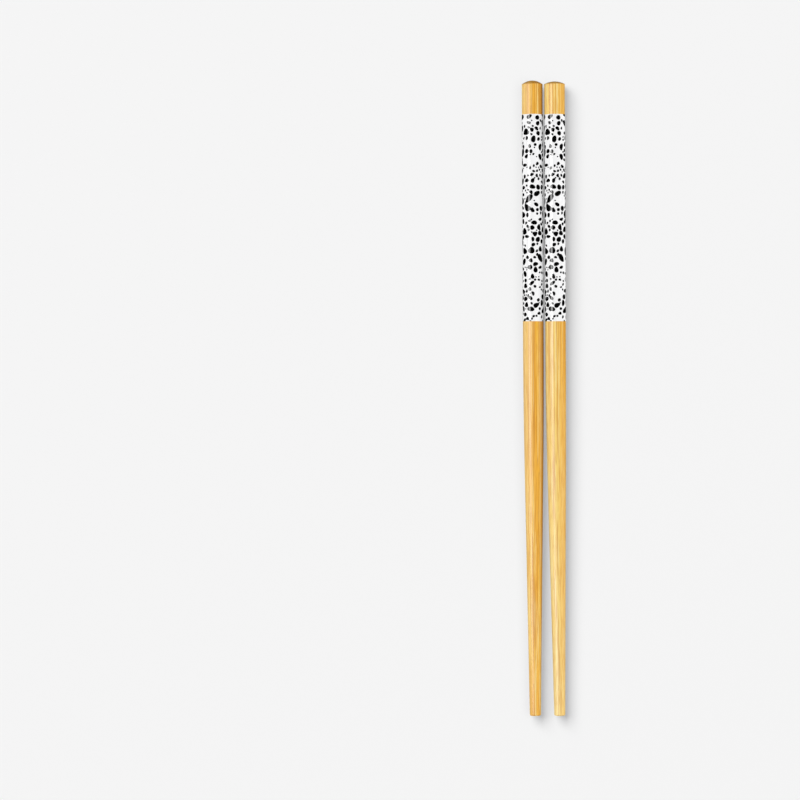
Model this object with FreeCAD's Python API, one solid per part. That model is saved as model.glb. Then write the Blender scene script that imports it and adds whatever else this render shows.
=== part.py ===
import FreeCAD, Part
import math
import os
import random

# A pair of turned bamboo chopsticks, each with a printed film sleeve round its handle. Sizes in mm.
# The sticks lie side by side along Y, handle ends towards +Y, resting on the plane z = 0 on their films.
# The origin is the middle of the pair's footprint. Distances along a stick count down from its crown's edge.

# Stick: one length of bamboo, a round handle that curves into a slender cone
STICK_LENGTH = 238.8
HANDLE_DIAMETER = 7.8
TIP_DIAMETER = 4.15
LEFT_CROWN_RISE = 1.2
RIGHT_CROWN_RISE = 0.85
CROWN_EDGE_BREAK = 0.3
TIP_EDGE_ROUND = 0.5
TAPER_CURVE_LENGTH = 50.0

# Stretches of the straight handle, from the crown's edge down
CAP_LENGTH = 11.7
FILM_LENGTH = 78.1
BARE_HANDLE_LENGTH = 7.2

# Film: a white sleeve pressed onto the bamboo, with black ink printed on it
FILM_THICKNESS = 0.05
INK_THICKNESS = 0.02

# Lie of the pair: the gap is where the films come nearest, at their lower ends
FILM_GAP = 0.5
LEFT_TURN_DEG = 0.27
RIGHT_TURN_DEG = 0.25
LEFT_TIP_LEAN_DEG = 0.05
RIGHT_TIP_LEAN_DEG = 0.48

# Ink spots: pebbles scattered on the unrolled film, the largest laid first.
# The print meets itself along a bare seam, which faces down when the sticks lie.
SPOT_SEED = 41
SPOT_TRIES = 84
SPOT_LARGEST = 3.9
SPOT_SMALLEST = 1.8
SPOT_LONGEST_RATIO = 1.35
SPOT_SPACING = 0.6
SPOT_CORNERS = 7
SPOT_UNEVENNESS = 0.12
PRINT_SEAM_WIDTH = 1.6
PRINT_TURN_DEG = 4.0

# How finely the taper is followed
TAPER_SECTIONS = 8

HANDLE_RADIUS = HANDLE_DIAMETER / 2
FILM_RADIUS = HANDLE_RADIUS + FILM_THICKNESS
INK_RADIUS = FILM_RADIUS + INK_THICKNESS
FILM_END = CAP_LENGTH + FILM_LENGTH
TAPER_START = FILM_END + BARE_HANDLE_LENGTH
DOWN = FreeCAD.Vector(0, -1, 0)
UP = FreeCAD.Vector(0, 0, 1)


def beside_axis(distance, radius):
    """Point in the turning profile, a distance down from the crown's edge and a radius out."""
    return FreeCAD.Vector(radius, -distance, 0)


def taper_run(distance):
    """Length of straight cone that the taper amounts to at a distance: none on the handle, then curving in."""
    past = distance - TAPER_START
    if past < TAPER_CURVE_LENGTH:
        return past ** 2 / (2 * TAPER_CURVE_LENGTH)
    return past - TAPER_CURVE_LENGTH / 2


def handle(crown_rise):
    """The straight handle: a cylinder under a shallow domed crown, its edge broken."""
    crown_reach = HANDLE_RADIUS - CROWN_EDGE_BREAK
    crown_radius = (crown_reach ** 2 + crown_rise ** 2) / (2 * crown_rise)
    fall_half_way = crown_radius - math.sqrt(crown_radius ** 2 - crown_reach ** 2 / 4)
    top = beside_axis(-crown_rise, 0)
    crown_middle = beside_axis(fall_half_way - crown_rise, crown_reach / 2)
    crown_edge = beside_axis(0, crown_reach)
    shoulder = beside_axis(CROWN_EDGE_BREAK, HANDLE_RADIUS)
    foot = beside_axis(TAPER_START, HANDLE_RADIUS)
    foot_centre = beside_axis(TAPER_START, 0)
    profile = [
        Part.Arc(top, crown_middle, crown_edge).toShape(),
        Part.makeLine(crown_edge, shoulder),
        Part.makeLine(shoulder, foot),
        Part.makeLine(foot, foot_centre),
        Part.makeLine(foot_centre, top),
    ]
    return Part.Face(Part.Wire(profile)).revolve(top, DOWN, 360)


def taper(lean_deg):
    """The slender half: round sections that shrink to the tip, carried sideways by the bow of the bamboo."""
    shrink = (HANDLE_DIAMETER - TIP_DIAMETER) / 2 / taper_run(STICK_LENGTH)
    drift = math.tan(math.radians(lean_deg))
    sections = []
    for step in range(TAPER_SECTIONS + 1):
        distance = TAPER_START + (STICK_LENGTH - TAPER_START) * step / TAPER_SECTIONS
        run = taper_run(distance)
        circle = Part.Circle(beside_axis(distance, drift * run), DOWN, HANDLE_RADIUS - shrink * run)
        sections.append(Part.Wire(circle.toShape()))
    body = Part.makeLoft(sections, True, True)
    tip_edges = [edge for edge in body.Edges if edge.BoundBox.YMax < TIP_EDGE_ROUND - STICK_LENGTH]
    return body.makeFillet(TIP_EDGE_ROUND, tip_edges)


def stick(crown_rise, lean_deg):
    """One whole bamboo stick."""
    return handle(crown_rise).fuse(taper(lean_deg))


def sleeve(inner_radius, outer_radius):
    """A thin tube over the film's stretch of the handle."""
    film_top = beside_axis(CAP_LENGTH, 0)
    outside = Part.makeCylinder(outer_radius, FILM_LENGTH, film_top, DOWN)
    return outside.cut(Part.makeCylinder(inner_radius, FILM_LENGTH, film_top, DOWN))


def spot_layout(draw):
    """Seeded places for the spots on the unrolled film, each clear of the seam and of all laid before it."""
    half_turn = math.pi * FILM_RADIUS
    laid = []
    for attempt in range(SPOT_TRIES):
        breadth = SPOT_LARGEST - (SPOT_LARGEST - SPOT_SMALLEST) * attempt / SPOT_TRIES
        length = breadth * draw.uniform(1, SPOT_LONGEST_RATIO)
        bound = half_turn - (PRINT_SEAM_WIDTH + length) / 2
        around = draw.uniform(-bound, bound)
        along = draw.uniform(0, FILM_LENGTH)
        tilt = draw.uniform(0, math.pi)
        clear = True
        for other in laid:
            apart = math.hypot(around - other["around"], along - other["along"])
            clear = clear and apart > (length + other["length"]) / 2 + SPOT_SPACING
        if clear:
            laid.append(
                {"around": around, "along": along, "length": length, "breadth": breadth, "tilt": tilt}
            )
    return laid


def spot_prism(spot, draw):
    """A many-sided pebble cut through the ink layer, square to the surface at the spot's middle."""
    angle = spot["around"] / FILM_RADIUS
    outward = FreeCAD.Vector(math.sin(angle), 0, math.cos(angle))
    sideways = FreeCAD.Vector(math.cos(angle), 0, -math.sin(angle))
    root = beside_axis(CAP_LENGTH + spot["along"], 0) + outward * (HANDLE_RADIUS / 2)
    corners = []
    for corner in range(SPOT_CORNERS):
        bearing = 2 * math.pi * corner / SPOT_CORNERS
        reach = 1 - draw.uniform(0, SPOT_UNEVENNESS)
        far = spot["length"] / 2 * math.cos(bearing) * reach
        near = spot["breadth"] / 2 * math.sin(bearing) * reach
        across = far * math.cos(spot["tilt"]) - near * math.sin(spot["tilt"])
        down = far * math.sin(spot["tilt"]) + near * math.cos(spot["tilt"])
        corners.append(root + sideways * across + DOWN * down)
    face = Part.Face(Part.makePolygon(corners + corners[:1]))
    return face.extrude(outward * HANDLE_RADIUS)


def ink():
    """The print: spots of ink that lie on the film, cut off where they meet its ends."""
    draw = random.Random(SPOT_SEED)
    prisms = [spot_prism(spot, draw) for spot in spot_layout(draw)]
    return sleeve(FILM_RADIUS, INK_RADIUS).common(Part.makeCompound(prisms))


def lay(shape, side, turn_deg):
    """Lays a piece on its side of the pair, turned about the place where the films come nearest."""
    shape.rotate(beside_axis(FILM_END, 0), UP, turn_deg)
    shape.translate(FreeCAD.Vector(side * (FILM_RADIUS + FILM_GAP / 2), 0, FILM_RADIUS))
    return shape


def pair():
    """All pieces of the pair, by name: both sticks carry the same print, rolled a little differently."""
    spots = ink()
    pieces = {}
    sides = [("left", -1, LEFT_CROWN_RISE, LEFT_TURN_DEG, LEFT_TIP_LEAN_DEG)]
    sides.append(("right", 1, RIGHT_CROWN_RISE, RIGHT_TURN_DEG, RIGHT_TIP_LEAN_DEG))
    for name, side, crown_rise, turn_deg, lean_deg in sides:
        rolled_spots = spots.copy()
        rolled_spots.rotate(beside_axis(0, 0), DOWN, side * PRINT_TURN_DEG)
        pieces[name + "_stick"] = lay(stick(crown_rise, lean_deg), side, turn_deg)
        pieces[name + "_film"] = lay(sleeve(HANDLE_RADIUS, FILM_RADIUS), side, turn_deg)
        pieces[name + "_spots"] = lay(rolled_spots, side, turn_deg)
    return pieces


def centred(pieces):
    """Moves the pair so that the middle of its footprint is at the origin."""
    middle = Part.makeCompound(list(pieces.values())).optimalBoundingBox(False, False).Center
    for shape in pieces.values():
        shape.translate(FreeCAD.Vector(-middle.x, -middle.y, 0))
    return pieces


os.makedirs("parts", exist_ok=True)
for node, solid in centred(pair()).items():
    solid.exportStep("parts/" + node + ".step")
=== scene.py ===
"""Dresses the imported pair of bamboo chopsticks: turned bamboo, white transfer film and its pebble print."""

import logging
import math
import random
from collections.abc import Callable
from dataclasses import dataclass
from enum import Enum

import bmesh
import bpy
from bpy.types import ID, Collection, Material, Mesh, Node, NodeSocket, NodeTree, Object
from mathutils import Matrix, Vector


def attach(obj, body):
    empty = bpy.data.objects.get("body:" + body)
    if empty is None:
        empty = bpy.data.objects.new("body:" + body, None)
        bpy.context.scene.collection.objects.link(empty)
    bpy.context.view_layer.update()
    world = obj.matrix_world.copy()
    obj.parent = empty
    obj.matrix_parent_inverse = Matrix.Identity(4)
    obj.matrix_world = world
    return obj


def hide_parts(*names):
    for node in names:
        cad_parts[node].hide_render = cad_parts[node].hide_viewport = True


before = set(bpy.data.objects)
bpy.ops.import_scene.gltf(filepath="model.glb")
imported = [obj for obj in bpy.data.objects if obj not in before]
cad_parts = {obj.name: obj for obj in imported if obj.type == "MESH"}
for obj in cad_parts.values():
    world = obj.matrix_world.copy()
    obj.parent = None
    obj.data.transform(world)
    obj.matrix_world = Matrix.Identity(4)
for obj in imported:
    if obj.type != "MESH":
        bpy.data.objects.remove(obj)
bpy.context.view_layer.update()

LOG = logging.getLogger("chopsticks")
MM = 0.001
GRAIN = "grain_mm"
WELD = 0.002 * MM
SHAPE_ATTRIBUTES = ("waist", "corner", "corner_turn", "bend")
Source = Node | NodeSocket


def linear(hex_colour: str) -> tuple[float, float, float, float]:
    """Turns an sRGB hex colour into the linear values that a shader takes.

    Args:
        hex_colour: Six hex digits, with or without a leading hash.

    Returns:
        Linear red, green and blue, and full alpha.
    """
    digits = hex_colour.lstrip("#")
    shares = [int(digits[i : i + 2], 16) / 255 for i in (0, 2, 4)]
    red, green, blue = [s / 12.92 if s <= 0.04045 else ((s + 0.055) / 1.055) ** 2.4 for s in shares]
    return red, green, blue, 1.0


def add(tree: NodeTree, kind: str, inputs: dict | None = None, **settings: object) -> Node:
    """Adds a node with its settings and links.

    Args:
        tree: The shader or geometry tree that takes the node.
        kind: The node's type.
        inputs: Values, sockets or nodes for its inputs, by name or by place among those in use.
        settings: The node's own options.

    Returns:
        The new node.
    """
    node = tree.nodes.new(kind)
    for option, value in settings.items():
        setattr(node, option, value)
    in_use = [socket for socket in node.inputs if socket.enabled]
    for key, value in (inputs or {}).items():
        socket = in_use[key] if isinstance(key, int) else next(s for s in in_use if s.name == key)
        if isinstance(value, Node):
            value = next(s for s in value.outputs if s.enabled)
        if isinstance(value, NodeSocket):
            tree.links.new(value, socket)
        else:
            socket.default_value = value
    return node


def shown(name: str, data: ID) -> Object:
    """Puts data into the scene as a new object.

    Args:
        name: The object's name.
        data: Its mesh, light or camera.

    Returns:
        The object.
    """
    item = bpy.data.objects.new(name, data)
    bpy.context.scene.collection.objects.link(item)
    return item


def geometry_tree(name: str, numbers: dict[str, float], others: dict[str, str]) -> NodeTree:
    """Starts a geometry tree with named inputs.

    Args:
        name: The tree's name.
        numbers: Its size inputs, with their values.
        others: Its other inputs, each with its socket type.

    Returns:
        The tree, with its group input node and no output yet.
    """
    tree = bpy.data.node_groups.new(name, "GeometryNodeTree")
    tree.interface.new_socket("Geometry", in_out="INPUT", socket_type="NodeSocketGeometry")
    tree.interface.new_socket("Geometry", in_out="OUTPUT", socket_type="NodeSocketGeometry")
    for label, value in numbers.items():
        socket = tree.interface.new_socket(label, in_out="INPUT", socket_type="NodeSocketFloat")
        socket.default_value = value
    for label, kind in others.items():
        tree.interface.new_socket(label, in_out="INPUT", socket_type=kind)
    return tree


def grown(tree: NodeTree, start: Mesh, values: dict[str, object]) -> Mesh:
    """Runs a geometry tree on a mesh and keeps the result as a plain mesh.

    Args:
        tree: The geometry tree.
        start: The mesh that it starts from.
        values: Values for its named inputs.

    Returns:
        The finished mesh, with nothing live left on it.
    """
    carrier = shown(tree.name, start)
    modifier = carrier.modifiers.new(tree.name, "NODES")
    modifier.node_group = tree
    for item in tree.interface.items_tree:
        if item.in_out == "INPUT" and item.name in values:
            modifier[item.identifier] = values[item.name]
    graph = bpy.context.evaluated_depsgraph_get()
    mesh = bpy.data.meshes.new_from_object(carrier.evaluated_get(graph))
    bpy.data.objects.remove(carrier)
    return mesh


def store(mesh: Mesh, columns: dict[str, list[float]]) -> None:
    """Stores numbers on a mesh's points.

    Args:
        mesh: The mesh.
        columns: The numbers of each attribute, by its name.
    """
    for name, values in columns.items():
        mesh.attributes.new(name, "FLOAT", "POINT").data.foreach_set("value", values)


def mixed(tree: NodeTree, share: Node, under: object, over: object) -> Node:
    """Lays one colour over another.

    Args:
        tree: The material's tree.
        share: Node that says how much of the upper colour shows.
        under: The lower colour, or the node that gives it.
        over: The upper colour.

    Returns:
        The mixing node.
    """
    return add(tree, "ShaderNodeMix", {0: share, 1: under, 2: over}, data_type="RGBA")


@dataclass(frozen=True)
class Finish:
    """A finish: a named material that its own class builds.

    Attributes:
        name: The material's name.
    """

    name: str

    def start(self) -> tuple[Material, NodeTree]:
        """Starts the material.

        Returns:
            The material, still empty, and its tree.
        """
        material = bpy.data.materials.new(self.name)
        material.use_nodes = True
        material.node_tree.nodes.clear()
        return material, material.node_tree

    def surface(self, tree: NodeTree, inputs: dict[str, object]) -> None:
        """Closes a tree with the principled shader and the material output."""
        shader = add(tree, "ShaderNodeBsdfPrincipled", inputs)
        add(tree, "ShaderNodeOutputMaterial", {"Surface": shader})


@dataclass(frozen=True)
class Streaks:
    """One layer of streaks that run along the bamboo. Sizes in mm.

    Attributes:
        width: Width of one streak.
        length: Length of one streak.
        detail: How many finer layers ride on the noise that places them.
        begins: Noise at which a streak begins.
        full: Noise at which it has its full colour.
        share: How much it covers there.
        roughness: How strong the finer layers are.
    """

    width: float
    length: float
    detail: float
    begins: float
    full: float
    share: float = 1.0
    roughness: float = 0.55

    def noise(self, tree: NodeTree, place: Source) -> Node:
        """Noise drawn out along the stick.

        Args:
            tree: The material's tree.
            place: What gives the place in the bamboo, in millimetres.

        Returns:
            The noise node.
        """
        scale = (1 / self.width, 1 / self.length, 1 / self.width)
        drawn_out = add(tree, "ShaderNodeMapping", {"Vector": place, "Scale": scale})
        settings = {"Vector": drawn_out, "Scale": 1.0, "Detail": self.detail, "Roughness": self.roughness}
        return add(tree, "ShaderNodeTexNoise", settings)

    def cover(self, tree: NodeTree, place: Source) -> Node:
        """How much of the streaks' colour shows at a place in the bamboo."""
        noise = self.noise(tree, place)
        return add(tree, "ShaderNodeMapRange", {0: noise, 1: self.begins, 2: self.full, 4: self.share})


@dataclass(frozen=True)
class LacqueredBamboo(Finish):
    """Moso bamboo, turned and clear lacquered: long fibres under a satin coat.

    To the eye it is straw yellow with lengthwise streaks 0.3 to 2 mm wide, which run out into flames where
    the taper cuts across them, a few dark vessel dashes, and browner end grain.

    Attributes:
        cream: Colour of the soft wood between the bundles, also laid on the pale left flank, partly as a
            painted sheen.
        pale: Colour of the lighter growth bands.
        honey: Colour of the common wood.
        tan: Colour of the deeper right flank: dense wood by the culm's outer face, and partly painted shade.
        amber: Colour of the fibre bundles, which run through it all as thin lines.
        brown: Colour of vessels and end grain.
        billet_offset_mm: Where in the imagined culm this stick was cut.
        outward: Unit vector towards the culm's outer face, where the fibres are denser. It points to the
            stick's right flank, away from the lamps.
        dense_and_shaded_span_mm: Where that side's deeper colour begins and where it is full, in mm from the
            stick's axis.
        density_and_shade: How much deeper the colour is there: denser wood, and partly painted shade.
        soft_wood_and_sheen: How much of the cream shows on the side towards the culm's inner face, here the
            left flank towards the lamps: soft wood, and partly a painted sheen.
        tip_paleness: How much of the cream shows at the tip, cut back to the culm's soft middle.
        soft_and_sheen_span_mm: Where that pale side begins and where it is palest.
        tip_span_mm: Where the tip's paleness begins and where it is full, along the stick.
        end_span_mm: Where the crown's end grain begins and where it is full, along the stick.
        end_brownness: How much of the brown it shows.
        bands: Broad growth bands.
        bundles: Fibre bundles, thin lines.
        pith: Soft wood between them, thin lines too.
        flecks: Short flecks where the turning crosses the fibres.
        vessels: Rare dark dashes.
    """

    cream: str
    pale: str
    honey: str
    tan: str
    amber: str
    brown: str
    billet_offset_mm: tuple[float, float, float]
    outward: tuple[float, float, float]
    dense_and_shaded_span_mm: tuple[float, float]
    density_and_shade: float
    soft_wood_and_sheen: float
    tip_paleness: float
    soft_and_sheen_span_mm: tuple[float, float] = (-0.8, -3.6)
    tip_span_mm: tuple[float, float] = (-110.0, -230.0)
    end_span_mm: tuple[float, float] = (-0.5, -0.15)
    end_brownness: float = 0.42
    bands: Streaks = Streaks(2.0, 210.0, 1.0, 0.44, 0.56)
    bundles: Streaks = Streaks(0.42, 80.0, 1.0, 0.52, 0.57, 0.9)
    pith: Streaks = Streaks(0.5, 95.0, 1.0, 0.56, 0.61, 0.65)
    flecks: Streaks = Streaks(0.3, 7.0, 1.5, 0.5, 0.62, 0.4)
    vessels: Streaks = Streaks(0.34, 5.0, 0.0, 0.78, 0.84, 0.35)

    def streaked(
        self,
        tree: NodeTree,
        place: Source,
        layers: tuple[tuple[Streaks, str], ...],
        under: Node,
    ) -> Node:
        """Lays layers of streaks over a colour.

        Args:
            tree: The material's tree.
            place: Node that gives the place in the billet, in millimetres.
            layers: Each layer of streaks and its colour, the lowest first.
            under: Node that gives the colour beneath them.

        Returns:
            The node that gives the streaked colour.
        """
        for streaks, colour in layers:
            under = mixed(tree, streaks.cover(tree, place), under, linear(colour))
        return under

    def colour(self, tree: NodeTree, place: Source, in_stick: Source) -> Node:
        """Colours the bamboo, from the culm's wood up to what the turning shows.

        Args:
            tree: The material's tree.
            place: Node that gives the place in the billet, in millimetres.
            in_stick: Socket that gives the place in the stick, in millimetres.

        Returns:
            The node that gives the colour.
        """
        banded = mixed(tree, self.bands.cover(tree, place), linear(self.pale), linear(self.honey))
        fibres = ((self.bundles, self.amber), (self.pith, self.cream))
        wood = self.streaked(tree, place, fibres, banded)

        # The culm's outer side, here the right flank away from the lamps, is deeper in colour: denser wood,
        # and partly painted shade. Its inner side, the left flank towards the lamps, is paler: soft wood, and
        # partly a painted sheen. The tip is pale as the soft middle
        depth = add(tree, "ShaderNodeVectorMath", {0: in_stick, 1: self.outward}, operation="DOT_PRODUCT")
        along = add(tree, "ShaderNodeSeparateXYZ", {0: in_stick}).outputs["Y"]
        spans = (
            (depth.outputs["Value"], self.dense_and_shaded_span_mm, self.density_and_shade, self.tan),
            (depth.outputs["Value"], self.soft_and_sheen_span_mm, self.soft_wood_and_sheen, self.cream),
            (along, self.tip_span_mm, self.tip_paleness, self.cream),
        )
        for distance, (begins, full), share, colour in spans:
            cover = add(tree, "ShaderNodeMapRange", {0: distance, 1: begins, 2: full, 4: share})
            wood = mixed(tree, cover, wood, linear(colour))

        turned = ((self.flecks, self.amber), (self.vessels, self.brown))
        wood = self.streaked(tree, place, turned, wood)

        # End grain drinks the lacquer and turns browner, from the crown's broken edge up
        begins, full = self.end_span_mm
        cover = add(tree, "ShaderNodeMapRange", {0: along, 1: begins, 2: full, 4: self.end_brownness})
        return mixed(tree, cover, wood, linear(self.brown))

    def material(self) -> Material:
        """Builds the bamboo.

        Returns:
            The finished material.
        """
        material, tree = self.start()
        in_stick = add(tree, "ShaderNodeAttribute", attribute_name=GRAIN).outputs["Vector"]
        place = add(tree, "ShaderNodeVectorMath", {0: in_stick, 1: self.billet_offset_mm}, operation="ADD")

        # The lacquer sinks by 0.01 mm between the bundles
        height = self.bundles.noise(tree, place)
        relief = add(tree, "ShaderNodeBump", {"Height": height, "Strength": 0.5, "Distance": 0.02 * MM})

        # Silky sheen: the fibres spread the gloss sideways, across the stick
        normal = add(tree, "ShaderNodeNewGeometry").outputs["Normal"]
        lengthwise = (0.0, 1.0, 0.0)
        across = add(tree, "ShaderNodeVectorMath", {0: normal, 1: lengthwise}, operation="CROSS_PRODUCT")
        self.surface(
            tree,
            {
                "Base Color": self.colour(tree, place, in_stick),
                "Roughness": 0.42,
                "IOR": 1.6,
                "Anisotropic": 0.8,
                "Tangent": across,
                "Normal": relief,
                "Coat Weight": 0.6,
                "Coat Roughness": 0.3,
            },
        )
        return material


@dataclass(frozen=True)
class TransferFilm(Finish):
    """Glossy polyester transfer film, white, pressed hot onto the bamboo.

    To the eye it is a clean bright white with one sharp strip of highlight, which wavers a little where the
    fibres beneath show through as faint ridges.

    Attributes:
        white: The film's colour.
        grey: The slightly greyer white of its thinner lines.
        ridges: The lines of the fibres that show through it.
    """

    white: str
    grey: str
    ridges: Streaks = Streaks(0.7, 24.0, 2.0, 0.35, 0.65, roughness=0.5)

    def material(self) -> Material:
        """Builds the film.

        Returns:
            The finished material.
        """
        material, tree = self.start()
        place = add(tree, "ShaderNodeAttribute", attribute_name=GRAIN).outputs["Vector"]
        colour = mixed(tree, self.ridges.cover(tree, place), linear(self.white), linear(self.grey))
        height = self.ridges.noise(tree, place)
        relief = add(tree, "ShaderNodeBump", {"Height": height, "Strength": 0.35, "Distance": 0.02 * MM})
        self.surface(tree, {"Base Color": colour, "Roughness": 0.1, "IOR": 1.57, "Normal": relief})
        return material


@dataclass(frozen=True)
class PrintInk(Finish):
    """Glossy black gravure ink under the film's clear top.

    To the eye it is a deep black that the highlight strip turns grey, with a faint mottle from the printing.

    Attributes:
        black: The ink's colour.
        worn: Its colour where it lies thin.
        mottles_per_mm: How fine the printing's mottle is.
    """

    black: str
    worn: str
    mottles_per_mm: float = 3.0

    def material(self) -> Material:
        """Builds the ink.

        Returns:
            The finished material.
        """
        material, tree = self.start()
        place = add(tree, "ShaderNodeAttribute", attribute_name=GRAIN).outputs["Vector"]
        fine = {"Vector": place, "Scale": self.mottles_per_mm, "Detail": 2.0}
        mottle = add(tree, "ShaderNodeTexNoise", fine)
        thin = add(tree, "ShaderNodeMapRange", {0: mottle, 1: 0.45, 2: 0.75})
        colour = mixed(tree, thin, linear(self.black), linear(self.worn))
        self.surface(tree, {"Base Color": colour, "Roughness": 0.1, "IOR": 1.57})
        return material


@dataclass(frozen=True)
class Lie:
    """How one stick lies in the pair, the same as its solid does.

    Attributes:
        name: Which stick it is.
        pivot_mm: The point of its axis level with the film's lower end.
        turn_deg: Its turn about the vertical through that point.
        roll_deg: How far its print is rolled round it.
    """

    name: str
    pivot_mm: tuple[float, float, float]
    turn_deg: float
    roll_deg: float

    def matrix(self, film_end_mm: float) -> Matrix:
        """Carries a shape from the stick's own frame, crown's edge at the origin, to its place in metres.

        Args:
            film_end_mm: Distance from the crown's edge down to the film's lower end.

        Returns:
            The matrix that goes with the mesh.
        """
        to_pivot = Matrix.Translation(Vector((0, film_end_mm * MM, 0)))
        turned = Matrix.Rotation(math.radians(self.turn_deg), 4, "Z")
        return Matrix.Translation(Vector(self.pivot_mm) * MM) @ turned @ to_pivot


@dataclass
class Stick:
    """One turned bamboo stick: domed crown, straight handle, curved taper and rounded tip.

    Sizes are in mm, and distances count down from the crown's edge. The rings say how finely each stretch of
    the turning profile is followed.
    """

    lie: Lie
    finish: LacqueredBamboo
    crown_rise: float
    tip_lean_deg: float
    length: float = 238.8
    handle_radius: float = 3.9
    tip_radius: float = 2.075
    edge_break: float = 0.3
    tip_round: float = 0.5
    tip_dome: float = 0.01
    taper_start: float = 97.0
    taper_curve: float = 50.0
    film_end: float = 89.8
    sides: int = 96
    crown_rings: int = 14
    edge_rings: int = 5
    handle_rings: int = 60
    taper_rings: int = 90
    tip_rings: int = 7

    def taper_run(self, distance: float) -> float:
        """Length of straight cone that the taper amounts to at a distance below the crown's edge.

        Args:
            distance: Distance in mm.

        Returns:
            The length in mm, 0 along the handle.
        """
        past = max(distance - self.taper_start, 0.0)
        curved = min(past, self.taper_curve)
        return curved**2 / (2 * self.taper_curve) + past - curved

    def drift(self, distance: float) -> float:
        """Sideways bow of the axis at a distance below the crown's edge."""
        return math.tan(math.radians(self.tip_lean_deg)) * self.taper_run(distance)

    def cone_radius(self, distance: float) -> float:
        """Radius of the handle and taper, before the ends are rounded."""
        shrink = (self.handle_radius - self.tip_radius) / self.taper_run(self.length)
        return self.handle_radius - shrink * self.taper_run(distance)

    def stations(self) -> list[tuple[float, float]]:
        """The turning profile from the crown's top to the tip.

        Returns:
            Pairs of distance below the crown's edge and radius.
        """
        reach = self.handle_radius - self.edge_break
        dome = (reach**2 + self.crown_rise**2) / (2 * self.crown_rise)
        profile = []
        for step in range(self.crown_rings + 1):
            radius = reach * math.sin(math.pi / 2 * step / self.crown_rings)
            profile.append((dome - self.crown_rise - math.sqrt(dome**2 - radius**2), radius))
        for step in range(1, self.edge_rings + 1):
            share = step / self.edge_rings
            profile.append((self.edge_break * share**2, reach + self.edge_break * (1 - (1 - share) ** 2)))
        for step in range(1, self.handle_rings + 1):
            distance = self.edge_break + (self.taper_start - self.edge_break) * step / self.handle_rings
            profile.append((distance, self.handle_radius))
        end = self.length - self.tip_round
        for step in range(1, self.taper_rings + 1):
            distance = self.taper_start + (end - self.taper_start) * step / self.taper_rings
            profile.append((distance, self.cone_radius(distance)))
        inner = self.cone_radius(end) - self.tip_round
        rim = self.tip_round - self.tip_dome
        for step in range(1, self.tip_rings + 1):
            angle = math.pi / 2 * step / self.tip_rings
            profile.append((end + rim * math.sin(angle), inner + self.tip_round * math.cos(angle)))

        # The end is a shade domed: half-way in, 0.6 of its rise is still to come
        profile.append((self.length - 0.6 * self.tip_dome, inner / 2))
        profile.append((self.length, 0.0))
        return profile

    def turning_tree(self) -> NodeTree:
        """Builds the tree that turns a bowed axis with stored radii into a closed stick.

        Returns:
            The tree.
        """
        others = {"Sides": "NodeSocketInt", "Finish": "NodeSocketMaterial"}
        tree = geometry_tree("turned_stick", {"Weld": WELD}, others)
        given = add(tree, "NodeGroupInput").outputs
        axis = add(tree, "GeometryNodeMeshToCurve", {"Mesh": given["Geometry"]})
        radius = add(tree, "GeometryNodeInputNamedAttribute", {"Name": "turned_radius"}, data_type="FLOAT")
        circle = {"Resolution": given["Sides"], "Radius": 1.0}
        section = add(tree, "GeometryNodeCurvePrimitiveCircle", circle)
        sweep = {"Curve": axis, "Profile Curve": section, "Scale": radius}
        skin = add(tree, "GeometryNodeCurveToMesh", sweep)
        closed = add(tree, "GeometryNodeMergeByDistance", {"Geometry": skin, "Distance": given["Weld"]})
        smooth = add(tree, "GeometryNodeSetShadeSmooth", {"Geometry": closed})
        real = add(tree, "GeometryNodeRealizeInstances", {"Geometry": smooth})
        dressed = add(tree, "GeometryNodeSetMaterial", {"Geometry": real, "Material": given["Finish"]})
        add(tree, "NodeGroupOutput", {"Geometry": dressed})
        return tree

    def build(self) -> Object:
        """Turns the stick, stores its grain and lays it in its place.

        Returns:
            The finished piece.
        """
        profile = self.stations()
        axis = bpy.data.meshes.new("axis")
        points = [(self.drift(d) * MM, -d * MM, 0) for d, _ in profile]
        axis.from_pydata(points, [(i, i + 1) for i in range(len(points) - 1)], [])
        store(axis, {"turned_radius": [r * MM for _, r in profile]})
        values = {"Sides": self.sides, "Finish": self.finish.material()}
        mesh = grown(self.turning_tree(), axis, values)
        return laid(mesh, self.lie, self.film_end, self.lie.name + "_bamboo", self.drift)


def laid(
    mesh: Mesh,
    lie: Lie,
    film_end: float,
    name: str,
    drift: Callable[[float], float] | None = None,
) -> Object:
    """Stores the grain's own coordinates on a mesh, turns its faces outwards and lays it in the pair.

    Args:
        mesh: The mesh, in the stick's own frame and in metres.
        lie: How the stick lies.
        film_end: Distance down to the film's lower end, in mm.
        name: The new piece's name.
        drift: The stick's bow as a function of distance, where the piece follows it.

    Returns:
        The finished piece, its object at the origin.
    """
    grain = []
    for vertex in mesh.vertices:
        x, y, z = (c / MM for c in vertex.co)
        grain += [x - (drift(-y) if drift else 0.0), y, z]
    mesh.attributes.new(GRAIN, "FLOAT_VECTOR", "POINT").data.foreach_set("vector", grain)
    solid = bmesh.new()
    solid.from_mesh(mesh)
    bmesh.ops.recalc_face_normals(solid, faces=solid.faces)
    solid.to_mesh(mesh)
    solid.free()
    mesh.transform(lie.matrix(film_end))
    mesh.name = name
    return shown(name, mesh)


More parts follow.
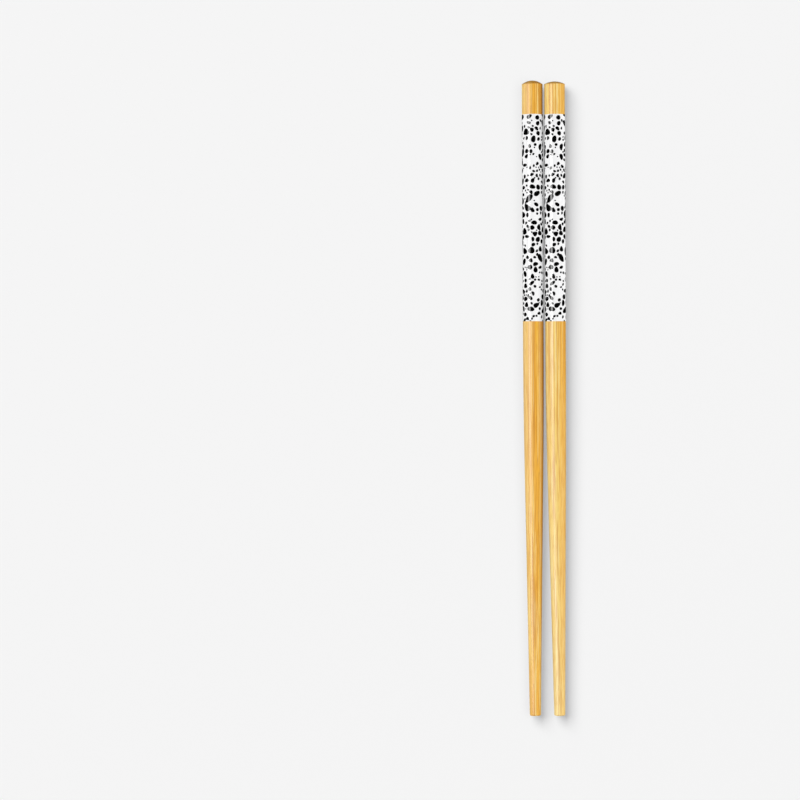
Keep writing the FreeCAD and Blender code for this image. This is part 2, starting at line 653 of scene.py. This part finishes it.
@dataclass
class Film:
    """The white sleeve round one handle. Sizes in mm."""

    lie: Lie
    finish: TransferFilm
    top: float = 11.7
    length: float = 78.1
    inner_radius: float = 3.9
    outer_radius: float = 3.95
    edge_round: float = 0.015
    end_inset: float = 0.06
    sides: int = 120
    rows: int = 60

    def rings(self) -> list[tuple[float, float]]:
        """The sleeve's wall in section, down the outside and back up the inside.

        Returns:
            Pairs of distance below the crown's edge and radius.
        """
        end = self.top + self.length
        first = self.top + self.end_inset
        span = self.length - 2 * self.end_inset
        rows = [first + span * row / self.rows for row in range(self.rows + 1)]
        rows = [self.top + self.edge_round, *rows, end - self.edge_round]
        outside = [(distance, self.outer_radius) for distance in rows]
        lower = [(end, self.outer_radius - self.edge_round), (end, self.inner_radius)]
        upper = [(self.top, self.inner_radius), (self.top, self.outer_radius - self.edge_round)]
        return outside + lower + upper

    def build(self) -> Object:
        """Makes the closed sleeve and lays it in its place.

        Returns:
            The finished piece.
        """
        rings = self.rings()
        points = []
        for distance, radius in rings:
            for side in range(self.sides):
                angle = 2 * math.pi * side / self.sides
                points.append((radius * MM * math.sin(angle), -distance * MM, radius * MM * math.cos(angle)))
        faces = []
        for ring in range(len(rings)):
            after = (ring + 1) % len(rings)
            for side in range(self.sides):
                beside = (side + 1) % self.sides
                corners = ((ring, side), (ring, beside), (after, beside), (after, side))
                faces.append([r * self.sides + s for r, s in corners])
        mesh = bpy.data.meshes.new("sleeve")
        mesh.from_pydata(points, [], faces)
        mesh.materials.append(self.finish.material())
        mesh.shade_smooth()
        return laid(mesh, self.lie, self.top + self.length, self.lie.name + "_wrap")


class PebbleKind(Enum):
    """Outlines that the pebbles come in: length to breadth, waist, corners and bend."""

    ROUND = (1.06, 0.0, 0.03, 0.0)
    OVAL = (1.3, 0.0, 0.04, 0.05)
    PEAR = (1.3, 0.02, 0.1, 0.08)
    PEANUT = (1.45, 0.1, 0.03, 0.1)
    KIDNEY = (1.35, 0.04, 0.04, 0.45)
    TRIANGLE = (1.08, 0.0, 0.1, 0.0)


@dataclass(frozen=True)
class PebbleClass:
    """A class of pebbles laid together.

    Attributes:
        count: How many are wanted.
        smallest: Least breadth in mm.
        largest: Greatest breadth in mm.
        spacing: Bare film kept round each, in mm.
        kinds: Outlines that they come in.
    """

    count: int
    smallest: float
    largest: float
    spacing: float
    kinds: tuple[PebbleKind, ...]


@dataclass(frozen=True)
class Pebble:
    """One pebble: its place on the unrolled film, its size and its outline, in mm and radians."""

    around: float
    along: float
    length: float
    breadth: float
    tilt: float
    waist: float
    corner: float
    corner_turn: float
    bend: float

    def ends(self) -> list[tuple[float, float]]:
        """Finds the two circles that the pebble's outline stays near.

        Returns:
            Their middles.
        """
        reach = (self.length - self.breadth) / 2
        dx, dy = reach * math.cos(self.tilt), reach * math.sin(self.tilt)
        return [(self.around + dx, self.along + dy), (self.around - dx, self.along - dy)]

    def clear_of(self, other: "Pebble", spacing: float) -> bool:
        """Whether bare film is left between this pebble and another.

        Args:
            other: The pebble laid before.
            spacing: Bare film wanted, in mm.

        Returns:
            True if they are far enough apart.
        """
        need = (self.breadth + other.breadth) / 2 + spacing
        apart = math.hypot(self.around - other.around, self.along - other.along)
        if apart > need + self.length + other.length:
            return True
        return all(math.dist(a, b) > need for a in self.ends() for b in other.ends())


@dataclass
class PebblePrint:
    """The black print on one film: pebbles of many sizes, strewn from a fixed seed. Sizes in mm.

    Some pebbles are laid beside an earlier one, and some round patches are kept bare. A bare seam, where the
    print meets itself, faces down. The plays say how far length, waist, corners and bend vary, as multiples
    of their kind's. Broader pebbles are pressed from the finer stamp, and a face counts as a pebble's top
    where the cosine between it and the way out from the axis is over the steepest top's.
    """

    lie: Lie
    finish: PrintInk
    film_top: float = 11.7
    film_length: float = 78.1
    film_radius: float = 3.95
    ink_thickness: float = 0.02
    seam_width: float = 1.6
    overhang: float = 0.2
    seed: int = 111
    tries: int = 6000
    gathering: float = 0.7
    gathering_gap: float = 0.5
    bare_patches: int = 24
    bare_patch_reach: float = 1.2
    plays: tuple[tuple[float, float], ...] = ((0.92, 1.12), (0.7, 1.2), (0.6, 1.2), (-1.2, 1.2))
    large_from: float = 1.35
    steepest_top: float = 0.5

    def classes(self) -> list[PebbleClass]:
        """Lists the classes of pebbles.

        Returns:
            The classes, largest first.
        """
        kind = PebbleKind
        plump = (kind.OVAL, kind.PEAR, kind.KIDNEY, kind.ROUND, kind.TRIANGLE)
        all_kinds = (*plump, kind.PEANUT)
        return [
            PebbleClass(26, 2.1, 2.6, 0.3, all_kinds),
            PebbleClass(84, 1.55, 1.95, 0.14, plump),
            PebbleClass(104, 1.1, 1.45, 0.1, all_kinds),
            PebbleClass(112, 0.75, 1.0, 0.1, (kind.ROUND, kind.OVAL, kind.PEAR)),
            PebbleClass(64, 0.5, 0.65, 0.1, (kind.ROUND, kind.OVAL)),
        ]

    def layout(self) -> list[Pebble]:
        """Strews the pebbles over the unrolled film, each clear of the seam and of those laid before.

        Some are laid close beside an earlier one, and patches are kept bare, so that they gather in groups.

        Returns:
            The pebbles that found room.
        """
        draw = random.Random(self.seed)
        half_turn = math.pi * self.film_radius
        bare = [
            (draw.uniform(-half_turn, half_turn), draw.uniform(0, self.film_length))
            for _ in range(self.bare_patches)
        ]
        laid_down: list[Pebble] = []
        for group in self.classes():
            found = 0
            for _ in range(self.tries):
                if found == group.count:
                    break
                pebble = self.drawn(draw, group, laid_down, bare)
                if pebble and all(pebble.clear_of(other, group.spacing) for other in laid_down):
                    laid_down.append(pebble)
                    found += 1
            LOG.info("pebbles from %.2f mm across: %d of %d", group.smallest, found, group.count)
        return laid_down

    def drawn(
        self,
        draw: random.Random,
        group: PebbleClass,
        laid_down: list[Pebble],
        bare: list[tuple[float, float]],
    ) -> Pebble | None:
        """Draws one pebble.

        Args:
            draw: The random draws.
            group: The class that it belongs to.
            laid_down: The pebbles laid before it.
            bare: Middles of the patches that are kept bare.

        Returns:
            The pebble, or None if its place is off the film, on the seam or on a bare patch.
        """
        ratio, waist, corner, bend = draw.choice(group.kinds).value
        breadth = draw.uniform(group.smallest, group.largest)
        length_play, waist_play, corner_play, bend_play = self.plays
        length = breadth * ratio * draw.uniform(*length_play)
        bound = math.pi * self.film_radius - (self.seam_width + length) / 2
        around = draw.uniform(-bound, bound)
        along = draw.uniform(-self.overhang, self.film_length + self.overhang)
        if laid_down and draw.random() < self.gathering:
            neighbour = draw.choice(laid_down)
            bearing = draw.uniform(0, 2 * math.pi)
            apart = (neighbour.length + length) / 2 + draw.uniform(0, self.gathering_gap)
            around = neighbour.around + apart * math.cos(bearing)
            along = neighbour.along + apart * math.sin(bearing)
        if abs(around) > bound or not -self.overhang < along < self.film_length + self.overhang:
            return None
        clearance = self.bare_patch_reach + length / 4
        if any(math.dist((around, along), patch) < clearance for patch in bare):
            return None
        return Pebble(
            around=around,
            along=along,
            length=length,
            breadth=breadth,
            tilt=draw.uniform(0, math.pi),
            waist=waist * draw.uniform(*waist_play),
            corner=corner * draw.uniform(*corner_play),
            corner_turn=draw.uniform(0, 2 * math.pi),
            bend=bend * draw.uniform(*bend_play),
        )

    def stamp(self, name: str, sides: int, rings: list[tuple[float, float]]) -> Object:
        """A closed round disc that pebbles are pressed from, its reach 1 and its height 1 layer of ink.

        Args:
            name: The stamp's name.
            sides: Corners of its outline.
            rings: Reach and height of each ring, from the middle of the top to the rim.

        Returns:
            The stamp, for the tree alone.
        """
        points = [(0.0, 0.0, 1.0)]
        for reach, height in rings:
            for side in range(sides):
                angle = 2 * math.pi * side / sides
                points.append((reach * math.cos(angle), reach * math.sin(angle), height))

        # Underneath, its middle reaches half a layer of ink into the film
        sunk = -0.5
        points.append((0.0, 0.0, sunk))
        faces = []
        last = len(points) - 1
        for side in range(sides):
            beside = (side + 1) % sides
            faces.append((0, 1 + side, 1 + beside))
            for ring in range(len(rings) - 1):
                near, far = 1 + ring * sides, 1 + (ring + 1) * sides
                faces.append((near + side, far + side, far + beside, near + beside))
            rim = 1 + (len(rings) - 1) * sides
            faces.append((rim + side, last, rim + beside))
        mesh = bpy.data.meshes.new(name)
        mesh.from_pydata(points, [], faces)
        columns = mesh.attributes.new("stamp", "FLOAT_VECTOR", "POINT")
        columns.data.foreach_set("vector", [c for point in points for c in point])
        return shown(name, mesh)

    def strewing_tree(self) -> NodeTree:
        """Builds the tree that presses a pebble at each point, shapes it and wraps it round the film.

        Returns:
            The tree.
        """
        sizes = {
            "Film radius": self.film_radius * MM,
            "Ink thickness": self.ink_thickness * MM,
            "Large from": self.large_from * MM,
        }
        others = dict.fromkeys(("Large stamp", "Small stamp"), "NodeSocketObject")
        others["Finish"] = "NodeSocketMaterial"
        tree = geometry_tree("strewn_pebbles", sizes, others)
        given = add(tree, "NodeGroupInput").outputs
        named = {}
        kinds = {"stamp": "FLOAT_VECTOR", "middle": "FLOAT_VECTOR"}
        kinds |= dict.fromkeys(("length", "breadth", "tilt", *SHAPE_ATTRIBUTES), "FLOAT")
        for name, kind in kinds.items():
            named[name] = add(tree, "GeometryNodeInputNamedAttribute", {"Name": name}, data_type=kind)

        # Press: large pebbles from the finer stamp, small ones from the plainer one
        sizes_compared = {0: named["breadth"], 1: given["Large from"]}
        is_large = add(tree, "FunctionNodeCompare", sizes_compared, operation="GREATER_THAN")
        by_size = {"Geometry": given["Geometry"], "Selection": is_large}
        sorted_points = add(tree, "GeometryNodeSeparateGeometry", by_size, domain="POINT")
        pressed = add(tree, "GeometryNodeJoinGeometry")
        for stamp, points in (("Large stamp", "Selection"), ("Small stamp", "Inverted")):
            shape = add(tree, "GeometryNodeObjectInfo", {"Object": given[stamp]}).outputs["Geometry"]
            pressing = {"Points": sorted_points.outputs[points], "Instance": shape}
            press = add(tree, "GeometryNodeInstanceOnPoints", pressing)
            tree.links.new(press.outputs["Instances"], pressed.inputs["Geometry"])
        real = add(tree, "GeometryNodeRealizeInstances", {"Geometry": pressed})

        def maths(operation: str, *values: object) -> Node:
            """Adds one step of the arithmetic."""
            return add(tree, "ShaderNodeMath", dict(enumerate(values)), operation=operation)

        # Outline: round the pebble its reach swells and shrinks, twice for a waist and thrice for corners
        stamp = add(tree, "ShaderNodeSeparateXYZ", {0: named["stamp"]}).outputs
        bearing = maths("ARCTAN2", stamp["Y"], stamp["X"])
        waist_wave = maths("COSINE", maths("MULTIPLY", bearing, 2.0))
        corner_wave = maths("COSINE", maths("MULTIPLY_ADD", bearing, 3.0, named["corner_turn"]))
        waisted = maths("MULTIPLY_ADD", waist_wave, named["waist"], 1.0)
        swell = maths("MULTIPLY_ADD", corner_wave, named["corner"], waisted)
        outline = add(tree, "ShaderNodeVectorMath", {0: named["stamp"], "Scale": swell}, operation="SCALE")
        outlined = add(tree, "ShaderNodeSeparateXYZ", {0: outline}).outputs

        # Bend: both ends of a kidney move sideways, its middle a little the other way
        middle_shift = 0.3
        arched = maths("SUBTRACT", maths("MULTIPLY", outlined["X"], outlined["X"]), middle_shift)
        bent = maths("MULTIPLY_ADD", arched, named["bend"], outlined["Y"])
        far = maths("MULTIPLY", outlined["X"], maths("MULTIPLY", named["length"], 0.5))
        near = maths("MULTIPLY", bent, maths("MULTIPLY", named["breadth"], 0.5))
        flat = add(tree, "ShaderNodeCombineXYZ", {"X": far, "Y": near})
        turn = {"Vector": flat, "Angle": named["tilt"]}
        tilted = add(tree, "ShaderNodeVectorRotate", turn, rotation_type="Z_AXIS")
        placed = add(tree, "ShaderNodeVectorMath", {0: tilted, 1: named["middle"]}, operation="ADD")

        # Wrap: across the unrolled film becomes the angle round it
        unrolled = add(tree, "ShaderNodeSeparateXYZ", {0: placed}).outputs
        angle = maths("DIVIDE", unrolled["X"], given["Film radius"])
        radius = maths("MULTIPLY_ADD", stamp["Z"], given["Ink thickness"], given["Film radius"])
        across = maths("MULTIPLY", maths("SINE", angle), radius)
        upright = maths("MULTIPLY", maths("COSINE", angle), radius)
        wrapped = add(tree, "ShaderNodeCombineXYZ", {"X": across, "Y": unrolled["Y"], "Z": upright})
        shaped = add(tree, "GeometryNodeSetPosition", {"Geometry": real, "Position": wrapped})
        dressed = add(tree, "GeometryNodeSetMaterial", {"Geometry": shaped, "Material": given["Finish"]})
        add(tree, "NodeGroupOutput", {"Geometry": dressed})
        return tree

    def trimmed(self, mesh: Mesh) -> Mesh:
        """Cuts the pebbles off at both ends of the film and closes the cuts.

        Args:
            mesh: The wrapped pebbles.

        Returns:
            The same mesh, trimmed.
        """
        shell = bmesh.new()
        shell.from_mesh(mesh)
        for distance, outward in ((self.film_top, 1), (self.film_top + self.film_length, -1)):
            everything = shell.verts[:] + shell.edges[:] + shell.faces[:]
            bmesh.ops.bisect_plane(
                shell,
                geom=everything,
                plane_co=Vector((0, -distance * MM, 0)),
                plane_no=Vector((0, outward, 0)),
                clear_outer=True,
            )
            open_edges = [edge for edge in shell.edges if edge.is_boundary]
            bmesh.ops.holes_fill(shell, edges=open_edges)
        shell.to_mesh(mesh)
        shell.free()
        return mesh

    def smoothed(self, piece: Object) -> Object:
        """Gives the pebbles' tops the film's own round normals, so that highlights cross them unbroken.

        Args:
            piece: The laid print.

        Returns:
            The same piece.
        """
        mesh = piece.data
        mesh.shade_smooth()
        turned = Matrix.Rotation(math.radians(self.lie.turn_deg), 3, "Z")
        grain = mesh.attributes[GRAIN].data
        radial = [
            (turned @ Vector((place.vector[0], 0.0, place.vector[2]))).normalized()
            for place in grain
        ]
        normals = [Vector((0.0, 0.0, 1.0))] * len(mesh.loops)
        for polygon in mesh.polygons:
            for loop in polygon.loop_indices:
                outward = radial[mesh.loops[loop].vertex_index]
                is_top = polygon.normal.dot(outward) > self.steepest_top
                normals[loop] = outward if is_top else polygon.normal.copy()
        mesh.normals_split_custom_set(normals)
        return piece

    def build(self) -> Object:
        """Strews, presses, trims and lays the print.

        Returns:
            The finished piece.
        """
        pebbles = self.layout()
        points = bpy.data.meshes.new("pebble_points")
        middles = [(p.around * MM, -(self.film_top + p.along) * MM, 0.0) for p in pebbles]
        points.from_pydata(middles, [], [])
        columns = {name: [getattr(p, name) * MM for p in pebbles] for name in ("length", "breadth")}
        columns |= {name: [getattr(p, name) for p in pebbles] for name in ("tilt", *SHAPE_ATTRIBUTES)}
        store(points, columns)
        places = points.attributes.new("middle", "FLOAT_VECTOR", "POINT")
        places.data.foreach_set("vector", [c for middle in middles for c in middle])
        large = self.stamp("large_stamp", sides=20, rings=[(0.36, 1.0), (0.7, 1.0), (0.95, 1.0), (1.0, 0.0)])
        small = self.stamp("small_stamp", sides=12, rings=[(0.5, 1.0), (0.94, 1.0), (1.0, 0.0)])
        values = {"Large stamp": large, "Small stamp": small, "Finish": self.finish.material()}
        mesh = self.trimmed(grown(self.strewing_tree(), points, values))
        for stamp in (large, small):
            bpy.data.objects.remove(stamp)
        mesh.transform(Matrix.Rotation(math.radians(self.lie.roll_deg), 4, Vector((0, -1, 0))))
        LOG.info("%s print: %d pebbles", self.lie.name, len(pebbles))
        film_end = self.film_top + self.film_length
        return self.smoothed(laid(mesh, self.lie, film_end, self.lie.name + "_print"))


@dataclass(frozen=True)
class SoftLamp:
    """One far soft lamp, so that its light is the same all over the object.

    Attributes:
        name: The lamp's name.
        from_vertical_deg: How far it stands over to the right; to the left is negative.
        breadth_deg: Its width as the object sees it.
        length_deg: Its length as the object sees it.
        radiance: Its brightness, where white paper in full light is 1.
        towards_handles_deg: How far it stands over towards the handle ends.
        in_gloss: Whether gloss shows it.
        distance_m: How far away it hangs.
    """

    name: str
    from_vertical_deg: float
    breadth_deg: float
    length_deg: float
    radiance: float
    towards_handles_deg: float = 0.0
    in_gloss: bool = True
    distance_m: float = 40.0

    def build(self, lit: Collection) -> None:
        """Hangs the lamp.

        Args:
            lit: The objects that it lights.
        """
        light = bpy.data.lights.new(self.name, "AREA")
        light.shape = "RECTANGLE"
        light.size = 2 * self.distance_m * math.tan(math.radians(self.breadth_deg / 2))
        light.size_y = 2 * self.distance_m * math.tan(math.radians(self.length_deg / 2))
        light.energy = self.radiance * math.pi * light.size * light.size_y
        aside = math.radians(self.from_vertical_deg)
        ahead = math.radians(self.towards_handles_deg)
        back = Vector((math.sin(aside), math.tan(ahead), math.cos(aside))).normalized()
        lengthwise = back.cross(Vector((math.cos(aside), 0.0, -math.sin(aside)))).normalized()
        across = lengthwise.cross(back)
        lamp = shown(self.name, light)
        turned = Matrix((across, lengthwise, back)).transposed().to_4x4()
        lamp.matrix_world = Matrix.Translation(back * self.distance_m) @ turned
        lamp.visible_glossy = self.in_gloss
        lamp.light_linking.receiver_collection = lit


@dataclass
class Studio:
    """Pale paper floor, an even white tent, soft lamps to the left and right, and the camera overhead.

    Attributes:
        ground: Colour of the paper and of the backdrop beyond it.
        floor_span_m: Side of the square floor.
        tent_strength: Brightness of the tent, where white paper in full light is 1.
        camera_mm: Where the camera hangs.
        lens_mm: Its focal length.
        sensor_mm: Width of its sensor.
    """

    ground: str = "#F5F5F5"
    floor_span_m: float = 6.0
    tent_strength: float = 0.4
    camera_mm: tuple[float, float, float] = (-54.4, -0.7, 1200.0)
    lens_mm: float = 142.4
    sensor_mm: float = 36.0

    def floor(self) -> Object:
        """Lays the paper floor, which keeps the object's shadow.

        Returns:
            The floor.
        """
        half = self.floor_span_m / 2
        mesh = bpy.data.meshes.new("floor")
        corners = [(-half, -half, 0), (half, -half, 0), (half, half, 0), (-half, half, 0)]
        mesh.from_pydata(corners, [], [(0, 1, 2, 3)])
        material, tree = Finish("matt_paper").start()
        paper = add(tree, "ShaderNodeBsdfDiffuse", {"Color": linear(self.ground)})
        add(tree, "ShaderNodeOutputMaterial", {"Surface": paper})
        mesh.materials.append(material)
        floor = shown("floor", mesh)
        floor.visible_glossy = False
        return floor

    def tent(self) -> None:
        """Lights everything evenly, and shows the backdrop's own white beyond the floor."""
        world = bpy.data.worlds.new("white_tent")
        world.use_nodes = True
        tree = world.node_tree
        tree.nodes.clear()
        camera_ray = add(tree, "ShaderNodeLightPath").outputs["Is Camera Ray"]
        seen = linear(self.ground)[0]
        strengths = {0: camera_ray, 1: self.tent_strength, 2: seen}
        strength = add(tree, "ShaderNodeMix", strengths, data_type="FLOAT")
        light = add(tree, "ShaderNodeBackground", {"Color": (1.0, 1.0, 1.0, 1.0), "Strength": strength})
        add(tree, "ShaderNodeOutputWorld", {"Surface": light})
        bpy.context.scene.world = world
        world.cycles_visibility.glossy = False

    def lamps(self, pieces: list[Object], floor: Object) -> None:
        """Hangs the lamps: one for the strip of highlight on each stick, two fills, and the floor's own.

        Args:
            pieces: The object's pieces.
            floor: The paper floor.
        """
        lit_pieces = bpy.data.collections.new("lit_pieces")
        lit_floor = bpy.data.collections.new("lit_floor")
        for piece in pieces:
            lit_pieces.objects.link(piece)
        lit_floor.objects.link(floor)
        strip = SoftLamp("strip_lamp", -43.0, breadth_deg=22.0, length_deg=32.0, radiance=7.0)
        right = SoftLamp("right_fill", 70.0, breadth_deg=40.0, length_deg=60.0, radiance=3.0, in_gloss=False)
        left = SoftLamp("left_fill", -68.0, breadth_deg=50.0, length_deg=60.0, radiance=0.55, in_gloss=False)
        for lamp in (strip, right, left):
            lamp.build(lit_pieces)
        aslant = {"breadth_deg": 38.0, "length_deg": 45.0, "towards_handles_deg": 27.0}
        SoftLamp("paper_lamp", -31.0, radiance=4.15, **aslant).build(lit_floor)
        SoftLamp("paper_fill", 24.0, breadth_deg=30.0, length_deg=60.0, radiance=0.8).build(lit_floor)

    def camera(self) -> None:
        """Hangs the camera over the middle of the photograph's frame, looking straight down."""
        data = bpy.data.cameras.new("overhead")
        data.sensor_width = self.sensor_mm
        data.lens = self.lens_mm
        data.clip_end = 100.0
        camera = shown("overhead", data)
        camera.location = Vector(self.camera_mm) * MM
        bpy.context.scene.camera = camera

    def build(self, pieces: list[Object]) -> None:
        """Sets up the whole studio round the pieces.

        Args:
            pieces: The object's pieces. They let the tent's soft light by, so that the paper keeps its own
                white, and the gloss of their neighbours doesn't mirror them.
        """
        self.tent()
        self.lamps(pieces, self.floor())
        self.camera()
        for piece in pieces:
            piece.visible_diffuse = False
            piece.visible_glossy = False
        bpy.context.scene.view_settings.view_transform = "Standard"


def main() -> None:
    """Builds the studio and the six pieces, and puts each piece on the frame."""
    logging.basicConfig(level=logging.INFO, format="%(message)s")
    left = Lie("left", pivot_mm=(-4.031, 29.002, 3.95), turn_deg=0.27, roll_deg=-4.0)
    right = Lie("right", pivot_mm=(4.369, 29.002, 3.95), turn_deg=0.25, roll_deg=4.0)
    honey_bamboo = LacqueredBamboo(
        name="lacquered_bamboo_honey",
        cream="#FFE49A",
        pale="#FBC442",
        honey="#F6B430",
        tan="#D08212",
        amber="#DA920A",
        brown="#9A5C1E",
        billet_offset_mm=(31.0, 0.0, 12.0),
        outward=(1.0, 0.0, 0.0),
        # Deeper right flank, away from the lamps: denser wood, and partly painted shade
        dense_and_shaded_span_mm=(1.6, 3.4),
        density_and_shade=0.85,
        # Pale left flank, towards the lamps: soft wood, and partly a painted sheen
        soft_wood_and_sheen=0.55,
        tip_paleness=0.1,
    )
    straw_bamboo = LacqueredBamboo(
        name="lacquered_bamboo_straw",
        cream="#FFEBA8",
        pale="#FFD96C",
        honey="#FDCA54",
        tan="#EBA836",
        amber="#D8921C",
        brown="#A06020",
        billet_offset_mm=(83.0, 40.0, 57.0),
        outward=(1.0, 0.0, 0.0),
        # Deeper right flank, away from the lamps: denser wood, and partly painted shade
        dense_and_shaded_span_mm=(-0.2, 2.6),
        density_and_shade=0.5,
        # Pale left flank, towards the lamps: soft wood, and partly a painted sheen
        soft_wood_and_sheen=0.2,
        tip_paleness=0.42,
    )
    film = TransferFilm("white_transfer_film", white="#FCFCFC", grey="#F7F7F8")
    ink = PrintInk("gloss_black_ink", black="#040404", worn="#0A0A0A")
    left_stick = Stick(left, honey_bamboo, crown_rise=1.2, tip_lean_deg=0.05)
    right_stick = Stick(right, straw_bamboo, crown_rise=0.85, tip_lean_deg=0.48)
    pieces = [
        (left_stick.build(), "bamboo", "left_stick"),
        (right_stick.build(), "bamboo", "right_stick"),
        (Film(left, film).build(), "white_film", "left_film"),
        (Film(right, film).build(), "white_film", "right_film"),
        (PebblePrint(left, ink).build(), "black_ink", "left_spots"),
        (PebblePrint(right, ink).build(), "black_ink", "right_spots"),
    ]
    for piece, slot, node in pieces:
        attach(piece, "root")
        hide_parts(node)
        LOG.info("%s: %d faces, stands for %s", piece.name, len(piece.data.polygons), node)
    Studio().build([piece for piece, _, _ in pieces])


if __name__ == "__main__":
    main()
